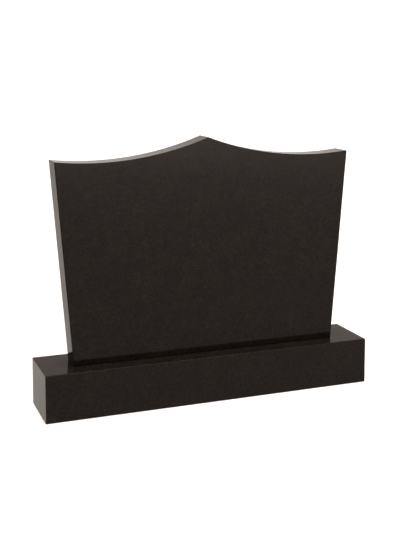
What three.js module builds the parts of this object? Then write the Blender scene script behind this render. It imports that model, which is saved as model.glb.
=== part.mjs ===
// A polished granite headstone: an upright tablet on a plain rectangular base block.
// The tablet's sides draw in towards its foot, and its top rises from both shoulders
// in two hollow curves that meet in a sharp peak over the middle.
//
// Millimetres, +Z up, +X along the stone's length, the front towards -Y.
// The origin is the middle of the base's underside.

import * as THREE from "three";

// The base block.
const BASE_LENGTH = 1100;
const BASE_DEPTH = 200;
const BASE_HEIGHT = 150;

// The tablet, with its height taken from its own foot up to the peak.
const TABLET_HEIGHT = 700;
const TABLET_THICKNESS = 80;
const SHOULDER_WIDTH = 1000;
const FOOT_WIDTH = 895;

// How far the peak stands above the shoulders, and the radius of the two hollow curves between.
const PEAK_RISE = 60;
const HOLLOW_RADIUS = 1050;

// The small flat that takes the sharpness off the polished edges.
const ARRIS = 2;

// The thin bed between the base's top and the tablet's foot.
const BED_GAP = 0.3;

// Straight steps in each hollow curve. An arc is drawn with twice its curve segments.
const HOLLOW_STEPS = 64;
const CURVE_SEGMENTS = HOLLOW_STEPS / 2;

const GRANITE_COLOR = "#26211e";
const GRANITE_ROUGHNESS = 0.15;

function polishedGranite() {
  return new THREE.MeshStandardMaterial({
    color: GRANITE_COLOR,
    roughness: GRANITE_ROUGHNESS,
    metalness: 0,
  });
}

// The outline grown to a solid of the given thickness, from z = 0 up, with an arris round both ends.
function arrisedSolid(outline, thickness) {
  const solid = new THREE.ExtrudeGeometry(outline, {
    depth: thickness - 2 * ARRIS,
    steps: 1,
    curveSegments: CURVE_SEGMENTS,
    bevelThickness: ARRIS,
    bevelSize: ARRIS,
    bevelOffset: -ARRIS,
    bevelSegments: 1,
  });
  return solid.translate(0, 0, ARRIS);
}

// A rectangle about the origin with its four corners cut by the arris.
function basePlan() {
  const x = BASE_LENGTH / 2;
  const y = BASE_DEPTH / 2;
  return new THREE.Shape([
    new THREE.Vector2(x - ARRIS, -y),
    new THREE.Vector2(x, -y + ARRIS),
    new THREE.Vector2(x, y - ARRIS),
    new THREE.Vector2(x - ARRIS, y),
    new THREE.Vector2(-x + ARRIS, y),
    new THREE.Vector2(-x, y - ARRIS),
    new THREE.Vector2(-x, -y + ARRIS),
    new THREE.Vector2(-x + ARRIS, -y),
  ]);
}

// The centre of the circle through both points that lies above the line between them.
function centreAbove(left, right, radius) {
  const chord = right.clone().sub(left);
  const middle = left.clone().add(right).multiplyScalar(0.5);
  const rise = Math.sqrt(radius ** 2 - chord.lengthSq() / 4);
  const upwards = new THREE.Vector2(-chord.y, chord.x).normalize();
  return middle.addScaledVector(upwards, rise);
}

// The tablet seen from the front, with its foot on the x axis.
function tabletFront() {
  const peak = new THREE.Vector2(0, TABLET_HEIGHT);
  const shoulder = new THREE.Vector2(SHOULDER_WIDTH / 2, TABLET_HEIGHT - PEAK_RISE);
  const foot = new THREE.Vector2(FOOT_WIDTH / 2, 0);

  // The right-hand hollow stops one arris short of the shoulder's corner, and so does the side.
  const centre = centreAbove(peak, shoulder, HOLLOW_RADIUS);
  const atPeak = peak.clone().sub(centre).angle();
  const atShoulder = shoulder.clone().sub(centre).angle() - ARRIS / HOLLOW_RADIUS;
  const down = foot.clone().sub(shoulder).setLength(ARRIS);
  const sideEnd = shoulder.clone().add(down);

  // The left half mirrors the right, so its angles are measured from the other side.
  const outline = new THREE.Shape();
  outline.moveTo(-foot.x, foot.y);
  outline.lineTo(foot.x, foot.y);
  outline.lineTo(sideEnd.x, sideEnd.y);
  outline.absarc(centre.x, centre.y, HOLLOW_RADIUS, atShoulder, atPeak, true);
  outline.absarc(-centre.x, centre.y, HOLLOW_RADIUS, Math.PI - atPeak, Math.PI - atShoulder, true);
  outline.lineTo(-sideEnd.x, sideEnd.y);
  outline.closePath();
  return outline;
}

function makeBase() {
  const base = new THREE.Mesh(arrisedSolid(basePlan(), BASE_HEIGHT), polishedGranite());
  base.name = "base";
  return base;
}

// The tablet is centred on the base's depth, standing upright on its bed.
function makeTablet() {
  const tablet = new THREE.Mesh(arrisedSolid(tabletFront(), TABLET_THICKNESS), polishedGranite());
  tablet.name = "tablet";
  tablet.rotation.x = Math.PI / 2;
  tablet.position.set(0, TABLET_THICKNESS / 2, BASE_HEIGHT + BED_GAP);
  return tablet;
}

const headstone = new THREE.Group();
headstone.add(makeBase(), makeTablet());

export default headstone;
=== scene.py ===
import bpy
import math
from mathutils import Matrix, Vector

# A polished granite headstone on a white studio floor. Metres, +Z up, the front towards -Y.
# The two blocks are the frame's own solids. This script gives them their finish, light and view.

# The camera stands to the stone's left, a little above its peak.
# Its place is measured from the middle of the base's underside.
CAMERA_PLACE = (-1.143, -2.976, 1.137)
CAMERA_HEADING = math.radians(20.77)
CAMERA_DIP = math.radians(6.20)
CAMERA_LENS = 67.1
CAMERA_SHIFT = -0.21

# How far the sharp edges are rounded, and how sharp an edge has to be for that.
EDGE_ROUND = 0.0005
EDGE_STEPS = 2
EDGE_ANGLE = math.radians(20)

# Faces that lie flatter to each other than this are one face. It leaves the hollows their steps.
FLAT_ANGLE = math.radians(0.1)
WELD_REACH = 1e-6

# How strongly the larger of two faces sets the shading at the edge between them, out of 100.
LARGE_FACE_WEIGHT = 100

# A face belongs to a side of its block if its normal leans less than this from that side's direction.
SIDE_LEAN = math.radians(26)
SIDES = {
    "front": Vector((0, -1, 0)),
    "back": Vector((0, 1, 0)),
    "left": Vector((-1, 0, 0)),
    "right": Vector((1, 0, 0)),
    "top": Vector((0, 0, 1)),
    "underside": Vector((0, 0, -1)),
}

# How brightly each finish mirrors, and how pale it leaves the stone. Paleness multiplies its colour.
# On the honed and sawn sides it is the duller finish's own paleness. Between the polished sides it
# varies as painted light: the tops are painted palest and the fronts darkest. Grit is the strength of its
# scratches.
FINISHES = {
    "mirror": {"ior": 1.169, "roughness": 0.08, "paleness_and_painted_light": 1.2, "grit": 0.0},
    "ledge": {"ior": 1.10, "roughness": 0.08, "paleness_and_painted_light": 1.6, "grit": 0.0},
    "end": {"ior": 1.0845, "roughness": 0.10, "paleness_and_painted_light": 1.35, "grit": 0.0},
    "flank": {"ior": 1.079, "roughness": 0.10, "paleness_and_painted_light": 1.35, "grit": 0.0},
    "edge": {"ior": 1.236, "roughness": 0.22, "paleness_and_painted_light": 1.5, "grit": 0.0},
    "rubbed": {"ior": 1.079, "roughness": 0.25, "paleness_and_painted_light": 1.35, "grit": 0.0},
    "arris": {"ior": 1.19, "roughness": 0.30, "paleness_and_painted_light": 1.5, "grit": 0.0},
    "honed": {"ior": 1.20, "roughness": 0.34, "paleness_and_painted_light": 2.5, "grit": 0.15},
    "sawn": {"ior": 1.25, "roughness": 0.75, "paleness_and_painted_light": 8.5, "grit": 0.6},
}

# The finish of each side of the two blocks, with the painted light that its paleness carries. The narrow
# arrises between the sides take the last one.
TABLET_FINISH = {
    "front": "mirror", "top": "edge", "left": "flank", "right": "flank",
    "back": "honed", "underside": "sawn", "arris": "rubbed",
}
BASE_FINISH = {
    "front": "mirror", "top": "ledge", "left": "end", "right": "end",
    "back": "honed", "underside": "sawn", "arris": "arris",
}

# Where each block is cut from the grain, so that no two blocks match.
TABLET_CUT = (0.37, 1.21, 0.53)
BASE_CUT = (2.11, 0.43, 1.77)

# The patterns in the stone. Scale is about how many cells of a pattern fit in a metre.
CRYSTALS = {"Scale": 230.0, "Detail": 3.0, "Distortion": 0.8}
SPECKS = {"Scale": 650.0}
CLUSTERS = {"Scale": 85.0, "Detail": 1.0, "Distortion": 0.5}
CLOUDS = {"Scale": 14.0, "Detail": 4.0}
SCRATCHES = {"Scale": 900.0, "Detail": 2.0}
SCRATCH_DEPTH = 0.0004

# The black, brown and grey minerals on a polished face: stops of (level of the crystals' pattern, colour).
MINERALS = [
    (0.34, (0.0024, 0.0018, 0.0015)),
    (0.50, (0.0046, 0.0035, 0.0028)),
    (0.66, (0.0082, 0.0064, 0.0053)),
]

# How the other patterns lighten and darken the minerals: stops of (level of the pattern, factor).
SPECK_SHADES = [(0.0, 1.0), (0.93, 1.0), (1.0, 2.6)]
CLUSTER_SHADES = [(0.32, 0.78), (0.68, 1.24)]
CLOUD_SHADES = [(0.3, 0.86), (0.7, 1.14)]

# The soft minerals take a little less polish: stops of (level of the pattern, factor of the roughness).
POLISH_SHADES = [(0.35, 0.8), (0.65, 1.25)]

# The tint of what the polish mirrors where it is looked at squarely.
MIRROR_TINT = (1.0, 0.985, 0.955)

# The lamps are warm, and the sky is warmer high up than low down.
LAMP = (1.0, 0.91, 0.85)
LOW_SKY = (1.0, 0.945, 0.89)
HIGH_SKY = (1.0, 0.865, 0.79)

# The sky's glow: stops of (sine of the height, tint, share of the strength).
SKY_GLOW = [
    (0.0, LOW_SKY, 1.10),
    (0.15, LOW_SKY, 0.90),
    (0.33, HIGH_SKY, 0.86),
    (0.48, HIGH_SKY, 0.25),
]
SKY_STRENGTH = 1.25

OVERHEAD_PLACE = (0, 0, 4)
OVERHEAD_STRENGTH = 3.8
OVERHEAD_ANGLE = math.radians(3)
SOFTBOX_PLACE = (3.2, -9.3, 5.0)
SOFTBOX_POWER = 1400.0
SOFTBOX_SIDE = 4.0

FLOOR_REACH = 60.0
FLOOR_WHITE = (0.88, 0.88, 0.88)
FLOOR_ROUGHNESS = 0.9

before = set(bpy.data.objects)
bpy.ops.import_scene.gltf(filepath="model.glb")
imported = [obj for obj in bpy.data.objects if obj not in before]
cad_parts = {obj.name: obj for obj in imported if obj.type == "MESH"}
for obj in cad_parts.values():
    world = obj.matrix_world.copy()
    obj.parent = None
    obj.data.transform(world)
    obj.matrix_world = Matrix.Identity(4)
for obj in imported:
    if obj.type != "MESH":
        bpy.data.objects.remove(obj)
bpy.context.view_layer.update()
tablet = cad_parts["tablet"]
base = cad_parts["base"]


def scaled(colour, factor):
    return tuple(part * factor for part in colour)


def add_node(tree, kind, **values):
    """A node of that kind, with the named inputs set to plain values or linked to sockets."""
    made = tree.nodes.new(kind)
    for name, value in values.items():
        socket = made.inputs[name]
        if isinstance(value, bpy.types.NodeSocket):
            tree.links.new(value, socket)
        else:
            socket.default_value = value
    return made


def add_ramp(tree, factor, stops):
    """A colour ramp fed by factor, with stops of (place, grey level or colour)."""
    made = tree.nodes.new("ShaderNodeValToRGB")
    tree.links.new(factor, made.inputs["Fac"])
    elements = made.color_ramp.elements
    while len(elements) < len(stops):
        elements.new(1.0)
    for element, (place, colour) in zip(elements, stops):
        element.position = place
        element.color = (*colour, 1) if isinstance(colour, tuple) else (colour, colour, colour, 1)
    return made.outputs["Color"]


def multiply(tree, first, second):
    """The product of two colours, with no upper limit."""
    made = tree.nodes.new("ShaderNodeMix")
    made.data_type = "RGBA"
    made.blend_type = "MULTIPLY"
    made.inputs["Factor"].default_value = 1.0
    inputs = [socket for socket in made.inputs if socket.type == "RGBA"]
    tree.links.new(first, inputs[0])
    tree.links.new(second, inputs[1])
    return next(socket for socket in made.outputs if socket.type == "RGBA")


def new_material(name):
    material = bpy.data.materials.new(name)
    material.use_nodes = True
    return material, material.node_tree


# The granite

def granite(name, cut, finish):
    """Dark fine-grained granite in one finish, with its grain moved by cut."""
    material, tree = new_material(name)
    shader = tree.nodes["Principled BSDF"]
    place = add_node(tree, "ShaderNodeTexCoord").outputs["Object"]
    place = add_node(tree, "ShaderNodeMapping", Vector=place, Location=cut).outputs["Vector"]

    # Interlocking crystals of 2 to 4 mm, and much smaller pale specks strewn among them.
    crystals = add_node(tree, "ShaderNodeTexNoise", Vector=place, **CRYSTALS).outputs["Fac"]
    # Each finish's paleness scales the minerals. On the polished sides it is painted light, palest on the
    # tops.
    minerals = [(level, scaled(colour, finish["paleness_and_painted_light"])) for level, colour in MINERALS]
    body = add_ramp(tree, crystals, minerals)
    specks = add_node(tree, "ShaderNodeTexVoronoi", Vector=place, **SPECKS).outputs["Color"]
    pick = add_node(tree, "ShaderNodeSeparateColor", Color=specks).outputs["Red"]
    strewn = add_ramp(tree, pick, SPECK_SHADES)

    # The minerals gather in clusters of about 12 mm, and those in broad, faint clouds.
    clusters = add_node(tree, "ShaderNodeTexNoise", Vector=place, **CLUSTERS).outputs["Fac"]
    cluster_shade = add_ramp(tree, clusters, CLUSTER_SHADES)
    clouds = add_node(tree, "ShaderNodeTexNoise", Vector=place, **CLOUDS).outputs["Fac"]
    cloud_shade = add_ramp(tree, clouds, CLOUD_SHADES)
    colour = multiply(tree, body, strewn)
    colour = multiply(tree, colour, multiply(tree, cluster_shade, cloud_shade))
    tree.links.new(colour, shader.inputs["Base Color"])

    roughness = [(level, finish["roughness"] * factor) for level, factor in POLISH_SHADES]
    tree.links.new(add_ramp(tree, crystals, roughness), shader.inputs["Roughness"])
    shader.inputs["IOR"].default_value = finish["ior"]
    shader.inputs["Specular Tint"].default_value = (*MIRROR_TINT, 1)

    if finish["grit"]:
        scratches = add_node(tree, "ShaderNodeTexNoise", Vector=place, **SCRATCHES).outputs["Fac"]
        bump = add_node(tree, "ShaderNodeBump", Strength=finish["grit"], Distance=SCRATCH_DEPTH,
                        Height=scratches)
        tree.links.new(bump.outputs["Normal"], shader.inputs["Normal"])
    return material


def side_of(normal):
    """The side of the block that a face with this normal belongs to, or else arris."""
    for side, direction in SIDES.items():
        if normal.angle(direction) < SIDE_LEAN:
            return side
    return "arris"


def dress(block, cut, side_finish):
    """Gives each side of a block its finish, and rounds its sharp edges."""
    mesh = block.data
    mesh.materials.clear()
    slots = {}
    for finish in dict.fromkeys(side_finish.values()):
        slots[finish] = len(slots)
        mesh.materials.append(granite(f"{block.name}_{finish}", cut, FINISHES[finish]))
    for face in mesh.polygons:
        face.material_index = slots[side_finish[side_of(face.normal)]]
        face.use_smooth = True

    weld = block.modifiers.new("weld", "WELD")
    weld.merge_threshold = WELD_REACH
    flats = block.modifiers.new("flats", "DECIMATE")
    flats.decimate_type = "DISSOLVE"
    flats.angle_limit = FLAT_ANGLE
    edges = block.modifiers.new("edges", "BEVEL")
    edges.width = EDGE_ROUND
    edges.segments = EDGE_STEPS
    edges.limit_method = "ANGLE"
    edges.angle_limit = EDGE_ANGLE
    shading = block.modifiers.new("shading", "WEIGHTED_NORMAL")
    shading.mode = "FACE_AREA"
    shading.weight = LARGE_FACE_WEIGHT


# The studio

def make_floor():
    mesh = bpy.data.meshes.new("floor")
    signs = [(-1, -1), (1, -1), (1, 1), (-1, 1)]
    corners = [(x * FLOOR_REACH, y * FLOOR_REACH, 0) for x, y in signs]
    mesh.from_pydata(corners, [], [(0, 1, 2, 3)])
    floor = bpy.data.objects.new("floor", mesh)
    bpy.context.scene.collection.objects.link(floor)
    material, tree = new_material("floor_white")
    shader = tree.nodes["Principled BSDF"]
    shader.inputs["Base Color"].default_value = (*FLOOR_WHITE, 1)
    shader.inputs["Roughness"].default_value = FLOOR_ROUGHNESS
    shader.inputs["Specular IOR Level"].default_value = 0.0
    mesh.materials.append(material)


def make_sky():
    """Soft light from all round, brightest low down."""
    world = bpy.data.worlds.new("studio")
    bpy.context.scene.world = world
    world.use_nodes = True
    tree = world.node_tree
    way = add_node(tree, "ShaderNodeTexCoord").outputs["Generated"]
    height = add_node(tree, "ShaderNodeSeparateXYZ", Vector=way).outputs["Z"]
    glow = add_ramp(tree, height, [(sine, scaled(tint, share)) for sine, tint, share in SKY_GLOW])
    background = tree.nodes["Background"]
    tree.links.new(glow, background.inputs["Color"])
    background.inputs["Strength"].default_value = SKY_STRENGTH


def make_light(name, kind, place, energy):
    """A warm light that faces straight down, as a light with no rotation does."""
    light = bpy.data.lights.new(name, kind)
    light.energy = energy
    light.color = LAMP
    lamp = bpy.data.objects.new(name, light)
    lamp.location = place
    bpy.context.scene.collection.objects.link(lamp)
    return light


def make_lights():
    """A distant light straight above, and a softbox over the floor in front of the stone."""
    overhead = make_light("overhead", "SUN", OVERHEAD_PLACE, OVERHEAD_STRENGTH)
    overhead.angle = OVERHEAD_ANGLE
    softbox = make_light("softbox", "AREA", SOFTBOX_PLACE, SOFTBOX_POWER)
    softbox.shape = "SQUARE"
    softbox.size = SOFTBOX_SIDE


def make_camera():
    data = bpy.data.cameras.new("camera")
    data.lens = CAMERA_LENS
    data.shift_y = CAMERA_SHIFT
    camera = bpy.data.objects.new("camera", data)
    camera.location = CAMERA_PLACE
    camera.rotation_euler = (math.pi / 2 - CAMERA_DIP, 0, -CAMERA_HEADING)
    bpy.context.scene.collection.objects.link(camera)
    bpy.context.scene.camera = camera


dress(tablet, TABLET_CUT, TABLET_FINISH)
dress(base, BASE_CUT, BASE_FINISH)
make_floor()
make_sky()
make_lights()
make_camera()
bpy.context.scene.view_settings.view_transform = "Standard"
